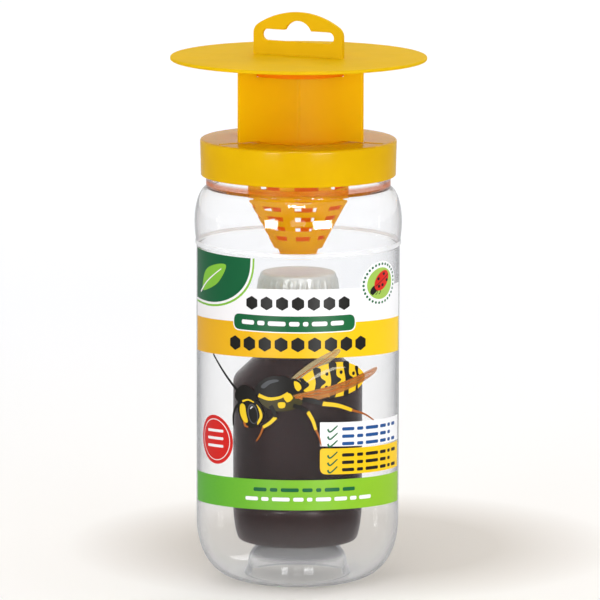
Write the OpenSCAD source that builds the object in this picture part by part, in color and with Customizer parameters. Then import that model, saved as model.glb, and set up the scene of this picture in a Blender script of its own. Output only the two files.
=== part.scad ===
// Hanging wasp trap: a clear jar with a screw-on entrance lid, a rain roof and a bait bottle.
// Origin: centre of the jar's standing ring. +Z is up. -Y is the labelled front.

/* [Jar] */
// Outside diameter of the jar over its label panel
jar_d = 90.4; // [88:0.2:92]
// Outside diameter of the widest part of the shoulder
shoulder_d = 92.2; // [92.2:0.2:94]
// Outside diameter of the plain neck below the lid
neck_d = 82; // [81:0.2:82.4]
// Height of the jar's rim above the table
rim_z = 195.1; // [190:0.1:200]
// Wall thickness of the blown jar
jar_wall = 0.9; // [0.6:0.1:1.2]
// Wall thickness of the moulded neck
neck_wall = 1.6; // [1.2:0.1:1.8]
// Height of the rounded corner between base and wall
base_round_h = 27.5; // [22:0.5:30]
// Diameter of the ring that the jar stands on, at its outer edge
foot_d = 49; // [47:0.5:52]
// Height of the pushed-up base inside the jar
punt_h = 17.4; // [14:0.1:19]

/* [Label] */
// Height of the film label's lower edge
label_z0 = 35.5; // [32:0.5:45]
// Height of the film label's upper edge
label_z1 = 150.2; // [120:0.2:150.2]
// Angle that the film label wraps round the front
label_angle = 160; // [90:5:200]
// Thickness of the film label
label_t = 0.12; // [0.08:0.02:0.2]

/* [Screw cap] */
// Outside diameter of the screw cap at its top
cap_d = 87.4; // [87:0.2:90]
// Height of the screw cap
cap_h = 16.2; // [15.8:0.1:18]
// Thickness of the cap's top plate
cap_top_t = 1.6; // [1.6:0.1:2]
// Thickness of the seal ring in the cap
seal_t = 1; // [0.8:0.1:1]
// Pitch of the jar thread
jar_pitch = 5.08; // [5:0.02:5.2]

/* [Entrance basket] */
// Outside diameter of the basket's straight neck
basket_d = 44.8; // [42:0.2:45]
// Height of the basket from its outlet to its flange
basket_h = 52.1; // [50:0.1:54]
// Wall thickness of the basket
basket_wall = 0.9; // [0.8:0.1:1.2]
// Outside diameter of the basket's outlet
outlet_d = 15.8; // [14:0.2:17]
// Number of slot columns round the basket
slot_columns = 8; // [6:1:10]
// Number of slot rows
slot_rows = 6; // [4:1:6]

/* [Vane insert] */
// Radius of each vane from the centre line
vane_r = 31.8; // [28:0.2:34]
// Thickness of each vane
vane_t = 1.6; // [1.2:0.1:2]
// Angle of the lid parts about the centre line
lid_turn = 3.5; // [0:0.5:30]
// Angle of the basket's ribs about the centre line
basket_turn = 32; // [0:1:44]

/* [Roof] */
// Diameter of the rain roof
roof_d = 113.9; // [100:0.1:120]
// Thickness of the rain roof
roof_t = 1.6; // [1.2:0.1:2]
// Clear height of the entrance between cap and roof
entrance_h = 35; // [30:0.5:40]
// Depth of the collar under the roof
collar_h = 6.1; // [4:0.1:8]
// Height of the hanging tab above the roof
tab_h = 19.4; // [19:0.1:21]
// Thickness of the hanging tab
tab_t = 2; // [1.6:0.1:2.4]

/* [Bait bottle] */
// Diameter of the bottle
bottle_d = 57.7; // [54:0.1:60]
// Overall height of the bottle with its closure
bottle_h = 120.5; // [118:0.5:120.5]
// Wall thickness of the bottle
bottle_wall = 0.9; // [0.7:0.1:1]
// Level of the liquid above the bottle's base
liquid_h = 69; // [20:1:70]
// Pitch of the bottle thread
bottle_pitch = 3.2; // [3.1:0.05:3.3]
// Number of grip ribs round the closure
grip_ribs = 32; // [24:4:40]

/* [Hidden] */
$fn = 96;

clear_gold = [0.95, 0.68, 0.06];
cap_gold = [0.95, 0.74, 0.05];
clear_pet = [0.86, 0.91, 0.93, 0.35];
eps = 0.02;             // Overlap that fuses two shapes of one piece
face_gap = 0.05;        // Gap between faces that rest on each other
slide_gap = 0.2;        // Radial gap round a piece that lifts out
thread_gap = 0.5;       // Radial gap between thread crest and root
thread_lugs = 18;       // Lugs in one turn of a thread
lug_share = 0.85;       // Share of each thread step that its lug fills
curve_steps = 14;       // Steps along each curved stretch of an outline

// Jar levels and radii
jar_r = jar_d / 2;
shoulder_r = shoulder_d / 2;
neck_r = neck_d / 2;
foot_r = foot_d / 2;
foot_in_r = foot_r - 2.9;
base_power = 2.26;      // Squareness of the base corner
punt_power = 3;         // Squareness of the pushed-up base
panel_top_z = rim_z - 44.8;
bulge_z = rim_z - 34.5;
neck_root_z = rim_z - 18.9;
thread_root_z = rim_z - 12.6;
thread_root_r = neck_r - 0.8;
mouth_r = thread_root_r - neck_wall;
shoulder_foot_r = neck_r - 0.8;
ring_out = 0.6;         // How far the ring above the label panel stands out
ring_z0 = panel_top_z + 0.9;
ring_z1 = panel_top_z + 1.7;
ring_z2 = panel_top_z + 2.6;

// Screw cap levels
cap_top_z = rim_z + seal_t + 2 * face_gap + cap_top_t;
cap_bottom_z = cap_top_z - cap_h;
cap_r = cap_d / 2;
cap_draft = 0.4;        // Radius that the skirt loses towards its lower edge
skirt_in_r = cap_r - 1.5;
jar_thread_w = 1.6;     // Height of one thread ridge
jar_crest_r = skirt_in_r - thread_gap;
cap_crest_r = thread_root_r + thread_gap;
cap_thread_z = cap_bottom_z + 1.6;
jar_thread_z = cap_thread_z + jar_pitch / 2;

// Basket
basket_r = basket_d / 2;
basket_in_r = basket_r - basket_wall;
flange_r = basket_r + 2;
flange_t = 0.8;
opening_r = basket_r + slide_gap;
outlet_r = outlet_d / 2;
basket_z0 = cap_top_z - basket_h;
cone_z0 = basket_z0 + 3.3;
cone_z1 = basket_z0 + 25.7;
cone_r0 = outlet_r + 2.9;
spout_r = outlet_r + 1.4;
slot_h = 2.1;
slot_pitch = 4.7;
slot_z0 = basket_z0 + 8.7;
slot_angle = 28;

// Vane insert and roof
vane_z0 = cap_top_z + 2 * face_gap;
vane_z1 = vane_z0 + entrance_h;
vane_low_z = cap_top_z - 20;
vane_low_r = basket_in_r - 0.5;
hub_r = 1.5;
vane_count = 3;
vane_first_angle = 90 + lid_turn;
roof_z = vane_z1 + face_gap;
roof_r = roof_d / 2;
collar_r = 22.4;
collar_wall = 1.6;
collar_gap = 0.3;
tab_r = 22;
tab_arch_r = 36;
tab_corner_r = 5;
tab_angle = lid_turn - 30;
slot_half = 17.8;
hang_slot_z0 = 6.2;
hang_slot_h = 5.1;
hook_r = 7;
hook_z = 8.6;

// Bottle
bottle_r = bottle_d / 2;
bottle_z = punt_h + face_gap;
base_flat_r = bottle_r - 2.6;
bottle_corner_h = 15;
bottle_corner_power = 1.6;
groove_z = bottle_z + 16.7;
groove_h = 3.6;
groove_depth = 0.7;
bottle_shoulder_z = bottle_z + 70.5;
bottle_neck_r = 14.2;
bottle_bore_r = 12.8;
bead_r = 16.4;
bead_z = bottle_z + 92;
closure_top_z = bottle_z + bottle_h;
closure_top_t = 1.2;
wad_t = 0.9;
foil_t = 0.2;
wad_z = closure_top_z - closure_top_t - face_gap - wad_t;
foil_z = wad_z - face_gap - foil_t;
bottle_rim_z = foil_z;
closure_z = closure_top_z - 26;
closure_r0 = 20.4;
closure_r1 = 16.9;
closure_wall = 1;
closure_edge = 1.4;     // Size of the rounded top edge
inner_skirt_r = 15.6;
inner_skirt_z = closure_top_z - 15;
bottle_thread_w = 1;
bottle_crest_r = inner_skirt_r - thread_gap;
closure_crest_r = bottle_neck_r + thread_gap;
closure_thread_z = inner_skirt_z + 1.2;
bottle_thread_z = closure_thread_z + bottle_pitch / 2;

// Points of an arc from angle a0 to a1
function arc(cx, cy, r, a0, a1, n = curve_steps) =
    [for (i = [0:n]) let (a = a0 + (a1 - a0) * i / n) [cx + r * cos(a), cy + r * sin(a)]];

// Quarter of a superellipse from (x0, y0) to (x1, y1), level at its start
function corner(x0, y0, x1, y1, power, n = curve_steps) =
    [for (i = [0:n]) let (a = 90 * i / n)
        [x0 + (x1 - x0) * pow(sin(a), 2 / power), y0 + (y1 - y0) * (1 - pow(cos(a), 2 / power))]];

function reversed(list) = [for (i = [len(list) - 1:-1:0]) list[i]];

// Outside line of the jar from its foot to the thread, moved inwards by inset
function jar_line(inset) = concat(
    corner(foot_r - inset / 2, inset, jar_r - inset, base_round_h, base_power),
    [[jar_r - inset, panel_top_z], [jar_r + ring_out - inset, ring_z0],
     [jar_r + ring_out - inset, ring_z1], [jar_r + ring_out / 2 - inset, ring_z2]],
    bulge_line(inset),
    shoulder_line(inset));

// Gentle bulge from the ring up to the widest part of the shoulder
function bulge_line(inset) = [for (i = [1:4]) let (a = 90 * i / 5)
    [jar_r + ring_out / 2 - inset + (shoulder_r - jar_r - ring_out / 2) * sin(a),
     bulge_z - (bulge_z - ring_z2) * (1 - a / 90)]];

// Round shoulder from its widest part in to the foot of the neck
function shoulder_line(inset) =
    let (top_z = neck_root_z - inset * 0.6)
    let (curve = reversed(corner(shoulder_foot_r - inset, top_z, shoulder_r - inset, bulge_z, 2)))
    [for (p = curve) if (p[0] > neck_r - inset + 0.1) p];

// Pushed-up base from its crown down to its foot at height z0
function punt_line(r, z0, h) = [for (i = [0:curve_steps]) let (a = 90 * (1 - i / curve_steps))
    [r * pow(cos(a), 2 / punt_power), z0 + (h - z0) * pow(sin(a), 2 / punt_power)]];

// One turn of an interrupted thread: short level lugs that climb in equal amounts
module thread_ridge(r_root, r_crest, width, pitch, z) {
    step = 360 / thread_lugs;
    lug_angle = step * lug_share;
    inner = min(r_root, r_crest);
    outer = max(r_root, r_crest);
    for (i = [0:thread_lugs - 1])
        rotate([0, 0, i * step + (step - lug_angle) / 2])
            translate([0, 0, z + pitch * (i + 0.5) / thread_lugs - width / 2])
                rotate_extrude(angle = lug_angle)
                    translate([inner, 0])
                        square([outer - inner, width]);
}

module jar() {
    color(clear_pet) union() {
        rotate_extrude() polygon(concat(
            punt_line(foot_in_r, 0, punt_h - jar_wall),
            jar_line(0),
            [[neck_r, neck_root_z], [neck_r, thread_root_z - 0.8], [thread_root_r, thread_root_z]],
            [[thread_root_r, rim_z], [mouth_r, rim_z], [mouth_r, neck_root_z]],
            reversed(jar_line(jar_wall)),
            reversed(punt_line(foot_in_r + jar_wall, jar_wall, punt_h))));
        thread_ridge(thread_root_r - eps, jar_crest_r, jar_thread_w, jar_pitch, jar_thread_z);
    }
}

module jar_label() {
    color([0.55, 0.75, 0.2]) rotate([0, 0, 270 - label_angle / 2]) rotate_extrude(angle = label_angle)
        translate([jar_r, label_z0]) square([label_t, label_z1 - label_z0]);
}

module lid_seal_ring() {
    seal_in_r = mouth_r - 1.4;
    color("whitesmoke") rotate_extrude()
        translate([seal_in_r, rim_z + face_gap])
            square([skirt_in_r - slide_gap - seal_in_r, seal_t]);
}

module screw_cap() {
    edge = 1.2;
    rib_r0 = vane_r + 0.5;
    rib_r1 = cap_r - 2;
    rib_w = 0.8;
    rib_h = 0.3;
    color(cap_gold) union() {
        rotate_extrude() polygon(concat(
            [[opening_r, cap_top_z - cap_top_t], [skirt_in_r, cap_top_z - cap_top_t]],
            [[skirt_in_r, cap_bottom_z], [cap_r - cap_draft, cap_bottom_z]],
            arc(cap_r - edge, cap_top_z - edge, edge, 0, 90, 6),
            [[flange_r + slide_gap, cap_top_z], [flange_r + slide_gap, cap_top_z - flange_t - face_gap]],
            [[opening_r, cap_top_z - flange_t - face_gap]]));
        thread_ridge(skirt_in_r + eps, cap_crest_r, jar_thread_w, jar_pitch, cap_thread_z);
        for (i = [0:vane_count - 1])
            rotate([0, 0, vane_first_angle + i * 360 / vane_count])
                translate([rib_r0, -rib_w / 2, cap_top_z - eps])
                    cube([rib_r1 - rib_r0, rib_w, rib_h + eps]);
    }
}

module entrance_basket() {
    top_z = cap_top_z;
    color(clear_gold) difference() {
        rotate_extrude() polygon([
            [outlet_r, basket_z0], [spout_r, cone_z0], [cone_r0, cone_z0], [basket_r, cone_z1],
            [basket_r, top_z - flange_t], [flange_r, top_z - flange_t], [flange_r, top_z],
            [basket_in_r, top_z], [basket_in_r, cone_z1 + 0.3],
            [cone_r0 - basket_wall, cone_z0 + basket_wall],
            [spout_r - basket_wall, cone_z0 + basket_wall], [outlet_r - basket_wall, basket_z0]]);
        for (row = [0:slot_rows - 1], col = [0:slot_columns - 1])
            translate([0, 0, slot_z0 + row * slot_pitch - slot_h / 2])
                rotate([0, 0, basket_turn + (col + 0.5) * 360 / slot_columns - slot_angle / 2])
                    rotate_extrude(angle = slot_angle)
                        translate([outlet_r - 2, 0])
                            square([basket_r, slot_h]);
    }
}

// One vane, drawn in its own plane with the centre line at x = 0
module vane_outline() {
    notch_r0 = collar_r - collar_wall - collar_gap;
    notch_w = collar_wall + 2 * collar_gap;
    difference() {
        union() {
            translate([0, vane_low_z]) square([vane_low_r, vane_z1 - vane_low_z]);
            translate([0, vane_z0]) square([vane_r, vane_z1 - vane_z0]);
        }
        translate([notch_r0, roof_z - collar_h - collar_gap]) square([notch_w, collar_h + 1]);
    }
}

module vane_insert() {
    color(clear_gold) union() {
        rotate([0, 0, vane_first_angle + 180 / vane_count])
            translate([0, 0, vane_low_z]) cylinder(r = hub_r, h = vane_z1 - vane_low_z);
        for (i = [0:vane_count - 1])
            rotate([0, 0, vane_first_angle + i * 360 / vane_count])
                rotate([90, 0, 0])
                    translate([0, 0, -vane_t / 2])
                        linear_extrude(vane_t) vane_outline();
    }
}

// Half of the tab's outline, from the middle of the arch down its right side
function tab_side() =
    let (arch_z = tab_h - tab_arch_r)
    let (reach = tab_arch_r - tab_corner_r)
    let (cx = tab_r - tab_corner_r)
    let (cz = arch_z + sqrt(reach * reach - cx * cx))
    let (a = atan2(cz - arch_z, cx))
    concat(arc(0, arch_z, tab_arch_r, 90, a, 8), arc(cx, cz, tab_corner_r, a, 0, 6));

module tab_outline() {
    side = tab_side();
    end_r = hang_slot_h / 2;
    difference() {
        polygon(concat(side, [[tab_r, -eps], [-tab_r, -eps]], [for (p = reversed(side)) [-p[0], p[1]]]));
        translate([-slot_half + end_r, hang_slot_z0]) square([2 * (slot_half - end_r), hang_slot_h]);
        for (s = [-1, 1])
            translate([s * (slot_half - end_r), hang_slot_z0 + end_r]) circle(r = end_r);
        intersection() {
            translate([0, hook_z]) circle(r = hook_r);
            translate([-hook_r, hang_slot_z0 + end_r]) square([2 * hook_r, tab_h]);
        }
    }
}

module rain_roof() {
    color(clear_gold) union() {
        translate([0, 0, roof_z]) cylinder(r = roof_r, h = roof_t);
        translate([0, 0, roof_z - collar_h]) difference() {
            cylinder(r = collar_r, h = collar_h + eps);
            translate([0, 0, -1]) cylinder(r = collar_r - collar_wall, h = collar_h + 1);
        }
        rotate([0, 0, tab_angle])
            translate([0, tab_t / 2, roof_z + roof_t])
                rotate([90, 0, 0])
                    linear_extrude(tab_t) tab_outline();
    }
}

// Outside line of the bottle from its base to the foot of the neck, moved inwards by inset
function bottle_line(inset) = concat(
    corner(base_flat_r - inset, bottle_z + inset, bottle_r - inset,
           bottle_z + bottle_corner_h, bottle_corner_power),
    [[bottle_r - inset, groove_z], [bottle_r - inset - groove_depth, groove_z + 0.6],
     [bottle_r - inset - groove_depth, groove_z + groove_h - 0.6], [bottle_r - inset, groove_z + groove_h]],
    arc(bottle_r - 6, bottle_shoulder_z, 6 - inset, 0, 45, 6),
    arc(bottle_neck_r + 4.2, bead_z - 3, 4.2 + inset, 225, 180, 6));

module bait_bottle() {
    color([0.75, 0.72, 0.74, 0.5]) union() {
        rotate_extrude() polygon(concat(
            [[0, bottle_z]], bottle_line(0),
            [[bottle_neck_r, bead_z], [bead_r, bead_z + 0.4], [bead_r, bead_z + 1.6], [bottle_neck_r, bead_z + 2]],
            [[bottle_neck_r, bottle_rim_z], [bottle_bore_r, bottle_rim_z]],
            [[bottle_bore_r, bead_z]],
            reversed(bottle_line(bottle_wall)),
            [[0, bottle_z + bottle_wall]]));
        thread_ridge(bottle_neck_r - eps, bottle_crest_r, bottle_thread_w, bottle_pitch, bottle_thread_z);
    }
}

module bait_liquid() {
    level = bottle_z + liquid_h;
    wall_line = bottle_line(bottle_wall);
    color([0.22, 0.13, 0.13]) rotate_extrude() polygon(concat(
        [[0, bottle_z + bottle_wall]],
        [for (p = wall_line) if (p[1] < level) p],
        [[bottle_r - bottle_wall, level], [0, level]]));
}

module foil_seal() {
    color("silver") translate([0, 0, foil_z]) cylinder(r = bottle_neck_r, h = foil_t);
}

module closure_wad() {
    color("white") translate([0, 0, wad_z]) cylinder(r = bottle_neck_r + 0.3, h = wad_t);
}

module bottle_closure() {
    lean = atan2(closure_r0 - closure_r1, closure_top_z - closure_edge - closure_z);
    rib_len = (closure_top_z - closure_edge - closure_z - 1) / cos(lean);
    color([0.9, 0.93, 0.93, 0.6]) union() {
        rotate_extrude() polygon(concat(
            [[closure_r0 - closure_wall, closure_z], [closure_r0, closure_z]],
            arc(closure_r1 - closure_edge, closure_top_z - closure_edge, closure_edge, 0, 90, 5),
            [[0, closure_top_z], [0, closure_top_z - closure_top_t]],
            [[inner_skirt_r, closure_top_z - closure_top_t], [inner_skirt_r, inner_skirt_z]],
            [[inner_skirt_r + 0.9, inner_skirt_z], [inner_skirt_r + 0.9, closure_top_z - 9]]));
        thread_ridge(inner_skirt_r + eps, closure_crest_r, bottle_thread_w, bottle_pitch, closure_thread_z);
        for (i = [0:grip_ribs - 1])
            rotate([0, 0, i * 360 / grip_ribs])
                translate([closure_r0 - 0.3, -0.5, closure_z + 0.5])
                    rotate([0, -lean, 0])
                        cube([0.7, 1, rib_len]);
    }
}

jar();
jar_label();
lid_seal_ring();
screw_cap();
entrance_basket();
vane_insert();
rain_roof();
bait_bottle();
bait_liquid();
foil_seal();
closure_wad();
bottle_closure();
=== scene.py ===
from math import atan2, ceil, cos, degrees, dist, hypot, pi, radians, sin, sqrt, tan

import bmesh
import bpy
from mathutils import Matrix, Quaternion, Vector


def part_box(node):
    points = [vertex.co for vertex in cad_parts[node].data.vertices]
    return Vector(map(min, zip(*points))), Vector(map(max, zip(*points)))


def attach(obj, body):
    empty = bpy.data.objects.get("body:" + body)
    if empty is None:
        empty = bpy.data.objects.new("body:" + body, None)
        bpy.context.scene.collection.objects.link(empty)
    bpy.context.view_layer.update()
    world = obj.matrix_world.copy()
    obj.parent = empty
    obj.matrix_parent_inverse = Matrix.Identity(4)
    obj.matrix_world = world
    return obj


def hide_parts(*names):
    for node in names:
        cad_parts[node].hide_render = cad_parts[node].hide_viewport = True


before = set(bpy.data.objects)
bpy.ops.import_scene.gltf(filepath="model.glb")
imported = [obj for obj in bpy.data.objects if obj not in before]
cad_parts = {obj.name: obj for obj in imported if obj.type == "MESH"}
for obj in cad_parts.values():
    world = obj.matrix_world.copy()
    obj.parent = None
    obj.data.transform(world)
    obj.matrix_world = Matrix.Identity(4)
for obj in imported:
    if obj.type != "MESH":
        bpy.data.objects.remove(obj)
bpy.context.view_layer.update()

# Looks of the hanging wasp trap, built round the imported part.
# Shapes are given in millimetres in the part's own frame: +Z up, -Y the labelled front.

MM = 0.001
TAU = 2 * pi
ROUND = 192            # Segments round a large turned piece
ROUND_SMALL = 128      # Segments round a small turned piece


def cad(node):
    """Lowest and highest corner of a CAD node, in millimetres."""
    low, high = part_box(node)
    return low / MM, high / MM


# ---- profiles

def corner(r0, z0, r1, z1, power, steps=18):
    """Quarter of a superellipse from (r0, z0), level there, up to (r1, z1)."""
    points = []
    for i in range(steps + 1):
        a = pi / 2 * i / steps
        across = sin(a) ** (2 / power)
        up = 1 - max(cos(a), 0.0) ** (2 / power)
        points.append((r0 + (r1 - r0) * across, z0 + (z1 - z0) * up))
    return points


def arc(r, z, radius, start, end, steps=6):
    """Points of an arc about (r, z), with its angles in degrees."""
    angles = [radians(start + (end - start) * i / steps) for i in range(steps + 1)]
    return [(r + radius * cos(a), z + radius * sin(a)) for a in angles]


def rounded(points, radius, steps=3, closed=True):
    """The same outline with its corners rounded. A point may carry its own radius."""
    count = len(points)
    out = []
    for i, point in enumerate(points):
        here = Vector(point[:2])
        size = point[2] if len(point) > 2 else radius
        if size <= 0 or (not closed and i in (0, count - 1)):
            out.append(tuple(here))
            continue
        before = Vector(points[i - 1][:2]) - here
        after = Vector(points[(i + 1) % count][:2]) - here
        if before.length < 1e-6 or after.length < 1e-6:
            continue
        angle = before.angle(after)
        if angle > radians(172):
            out.append(tuple(here))
            continue
        cut = min(size / tan(angle / 2), before.length * 0.45, after.length * 0.45)
        a = here + before.normalized() * cut
        b = here + after.normalized() * cut
        for k in range(steps + 1):
            t = k / steps
            p = a * (1 - t) ** 2 + here * 2 * t * (1 - t) + b * t ** 2
            out.append(tuple(p))
    return out


def smooth_step(x):
    x = min(max(x, 0.0), 1.0)
    return x * x * (3 - 2 * x)


def thread_height(z, angle, z0, pitch, half_width):
    """Share of full height that a one-turn thread ridge has at this place."""
    turn = (angle % TAU) / TAU
    off = abs(z - z0 - pitch * turn)
    flank = smooth_step(1.5 - off / half_width)
    return flank * smooth_step(min(turn, 1 - turn) / 0.05)


# ---- mesh helpers

def link(name, data):
    """A new object in the scene, which holds this data."""
    thing = bpy.data.objects.new(name, data)
    bpy.context.scene.collection.objects.link(thing)
    return thing


def make_piece(bm, name, materials, body, replaces=(), sharp=40, bevel=0.0):
    """Turns the mesh into a named piece that rides on a body."""
    bmesh.ops.recalc_face_normals(bm, faces=bm.faces)
    mesh = bpy.data.meshes.new(name)
    bm.to_mesh(mesh)
    bm.free()
    for polygon in mesh.polygons:
        polygon.use_smooth = True
    mesh.set_sharp_from_angle(angle=radians(sharp))
    for material in materials:
        mesh.materials.append(material)
    piece = link(name, mesh)
    if bevel:
        edge = piece.modifiers.new("edge", "BEVEL")
        edge.width = bevel * MM
        edge.segments = 3
        edge.limit_method = "ANGLE"
        edge.angle_limit = radians(50)
        edge.harden_normals = True
    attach(piece, body)
    if replaces:
        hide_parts(*replaces)


def turned(profile, segments=ROUND, radius=None):
    """Closed solid turned about Z from a loop of (r, z) points that may touch the axis."""
    bm = bmesh.new()
    rings = []
    for r, z in profile:
        if r < 1e-6:
            rings.append([bm.verts.new((0, 0, z * MM))])
            continue
        ring = []
        for i in range(segments):
            a = TAU * i / segments
            rr = radius(r, z, a) if radius else r
            ring.append(bm.verts.new((rr * cos(a) * MM, rr * sin(a) * MM, z * MM)))
        rings.append(ring)
    for k, ring in enumerate(rings):
        other = rings[(k + 1) % len(rings)]
        for i in range(segments):
            j = (i + 1) % segments
            if len(ring) == 1 and len(other) == 1:
                break
            if len(ring) == 1:
                bm.faces.new((ring[0], other[j], other[i]))
            elif len(other) == 1:
                bm.faces.new((ring[i], ring[j], other[0]))
            else:
                bm.faces.new((ring[i], ring[j], other[j], other[i]))
    return bm


def levels(r0, z0, r1, z1, step):
    """Points along a straight line, no further apart than step, without its last."""
    count = max(1, ceil(hypot(r1 - r0, z1 - z0) / step))
    return [(r0 + (r1 - r0) * i / count, z0 + (z1 - z0) * i / count) for i in range(count)]


# ---- materials

def start_material(name):
    material = bpy.data.materials.new(name)
    material.use_nodes = True
    material.node_tree.nodes.clear()
    return material, material.node_tree


def add(tree, kind, inputs=None, **settings):
    """A shader node with its settings, and its inputs as values or linked sockets."""
    node = tree.nodes.new("ShaderNode" + kind)
    for key, value in settings.items():
        setattr(node, key, value)
    for key, value in (inputs or {}).items():
        if isinstance(value, bpy.types.NodeSocket):
            tree.links.new(value, node.inputs[key])
        else:
            node.inputs[key].default_value = value
    return node


def srgb(red, green, blue):
    """A colour given as 0 to 255 on screen, as the linear colour a shader takes."""
    values = [c / 255 for c in (red, green, blue)]
    return tuple(c / 12.92 if c <= 0.04045 else ((c + 0.055) / 1.055) ** 2.4
                 for c in values) + (1.0,)


def dimmed(colour, share):
    return tuple(share * c for c in colour[:3]) + (1.0,)


def ramp(tree, factor, stops):
    """A colour ramp over factor, from (position, colour) stops."""
    node = add(tree, "ValToRGB", {"Fac": factor})
    elements = node.color_ramp.elements
    elements[0].position, elements[0].color = stops[0]
    elements[1].position, elements[1].color = stops[-1]
    for position, colour in stops[1:-1]:
        elements.new(position).color = colour
    return node.outputs["Color"]


def position(tree):
    """Place on the piece, in metres."""
    return add(tree, "TexCoord").outputs["Object"]


def noise(tree, scale, detail=3.0, stretch=None):
    """Noise fixed to the piece, with scale in cycles per metre."""
    place = position(tree)
    if stretch:
        place = add(tree, "Mapping", {"Vector": place, "Scale": stretch}).outputs["Vector"]
    return add(tree, "TexNoise", {"Vector": place, "Scale": scale, "Detail": detail}).outputs["Fac"]


def bump(tree, height, strength, distance):
    return add(tree, "Bump", {"Height": height, "Strength": strength,
                              "Distance": distance * MM}).outputs["Normal"]


def shaded(material, shader):
    add(material.node_tree, "OutputMaterial", {"Surface": shader})
    return material


def span(tree, value, low, high, start=0.0, end=1.0):
    """A value that goes from start to end, turned into one that goes from low to high."""
    return add(tree, "MapRange", {"Value": value, "From Min": start, "From Max": end,
                                  "To Min": low, "To Max": high}).outputs["Result"]


def calc(tree, operation, *values):
    return add(tree, "Math", dict(enumerate(values)), operation=operation).outputs[0]


def mix(tree, share, first, second):
    """Two shaders mixed, with this share of the second."""
    return add(tree, "MixShader", {"Fac": share, 1: first, 2: second}).outputs[0]


def clear(tree, tint):
    return add(tree, "BsdfTransparent", {"Color": tint}).outputs[0]


def principled(tree, colour, roughness, gloss=0.5, ior=1.5, **more):
    return add(tree, "BsdfPrincipled", {"Base Color": colour, "Roughness": roughness, "IOR": ior,
                                        "Specular IOR Level": gloss, **more}).outputs[0]


def facing(tree, **normal):
    """0 where a surface is seen head-on, 1 at its outline."""
    return add(tree, "LayerWeight", {"Blend": 0.5, **normal}).outputs["Facing"]


def cloudy(tree, milk):
    """The faint body colour of a clear plastic."""
    cloud = ramp(tree, noise(tree, 90.0), [(0.3, milk), (0.8, dimmed(milk, 0.85))])
    return principled(tree, cloud, 0.35, 0.04)


def jar_plastic(tint, milk, waves):
    """Clear wall that bends light and lets lamps through. It is cloudier towards its foot, with a painted
    whitish reflection at its outline, a painted highlight band on the ring above the label panel,
    a painted grey shade on the top of the push-up, and a painted orange reflection of the cap round the root
    of the neck."""
    material, tree = start_material("clear_pet")
    place = position(tree)
    height = add(tree, "SeparateXYZ", {"Vector": place}).outputs["Z"]
    flat = add(tree, "VectorMath", {0: place, 1: (1, 1, 0)}, operation="MULTIPLY").outputs["Vector"]
    from_axis = add(tree, "VectorMath", {0: flat}, operation="LENGTH").outputs["Value"]
    ripple = bump(tree, noise(tree, 70.0, 1.0, (1, 1, 0.3)), waves, 1.0)
    wall = add(tree, "BsdfGlass", {"Color": tint, "Roughness": 0.0, "IOR": 1.32,
                                   "Normal": ripple}).outputs[0]

    base = span(tree, height, 0.08, 0.002, 0.0, 0.034)
    # Painted reflection: towards the outline the wall turns whitish, for the bright edges that mirror the
    # white tent.
    outline = span(tree, calc(tree, "POWER", facing(tree), 4.0), 0.0, 0.35)
    # Painted highlight: a whitish band round the jar at the ring above the label panel.
    ring = calc(tree, "COMPARE", height, RING_HIGHLIGHT_Z * MM, 0.8 * MM)
    share = calc(tree, "MULTIPLY_ADD", ring, 0.4, calc(tree, "ADD", base, outline))
    wall = mix(tree, share, wall, cloudy(tree, milk))

    # Painted shade: the top of the push-up is grey, for the shade of the bottle standing on it.
    inward = span(tree, from_axis, 1.0, 0.0, 20.4 * MM, 21.2 * MM)
    painted_punt_shade = calc(tree, "MULTIPLY", inward, span(tree, height, 0.0, 0.5, 8 * MM, 10 * MM))
    wall = mix(tree, painted_punt_shade, wall, cloudy(tree, srgb(98, 98, 106)))

    # Painted reflection: an orange band round the root of the neck, for the cap's colour mirrored in it.
    off_root = calc(tree, "ABSOLUTE", calc(tree, "SUBTRACT", height, CAP_REFLECTION_Z * MM))
    glow = span(tree, off_root, 0.5, 0.0, 0.5 * MM, 1.9 * MM)
    wall = mix(tree, glow, wall, cloudy(tree, srgb(206, 104, 2)))

    path = add(tree, "LightPath").outputs
    soft = calc(tree, "MAXIMUM", path["Is Shadow Ray"], path["Is Diffuse Ray"])
    return shaded(material, mix(tree, soft, wall, clear(tree, tint)))


def thin_clear(name, head_on, grazing, milk, milk_share, roughness, waves, gloss):
    """Thin clear plastic: tinted see-through, some body colour, and mirror gloss."""
    material, tree = start_material(name)
    ripple = bump(tree, noise(tree, 55.0, 1.0, (1, 1, 0.35)), waves, 1.0)
    tint = ramp(tree, facing(tree), [(0.0, head_on), (0.6, head_on), (1.0, grazing)])
    haze = mix(tree, milk_share, clear(tree, tint), cloudy(tree, milk))
    mirror = add(tree, "BsdfGlossy", {"Roughness": roughness, "Normal": ripple}).outputs[0]
    share = span(tree, calc(tree, "POWER", facing(tree, Normal=ripple), 5.0), gloss, 0.9)
    return shaded(material, mix(tree, share, haze, mirror))


def milky_plastic(name, colour, clear_share, glow_share):
    """Cloudy white plastic that lets some light and a little of what is behind it through."""
    material, tree = start_material(name)
    tone = ramp(tree, noise(tree, 60.0, 3.0), [(0.3, colour), (0.8, dimmed(colour, 0.9))])
    glow = add(tree, "BsdfTranslucent", {"Color": tone}).outputs[0]
    solid = mix(tree, glow_share, principled(tree, tone, 0.25, 0.3, 1.49), glow)
    share = span(tree, facing(tree), clear_share, 0.0)
    return shaded(material, mix(tree, share, solid, clear(tree, (0.98, 0.99, 0.99, 1))))


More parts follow.
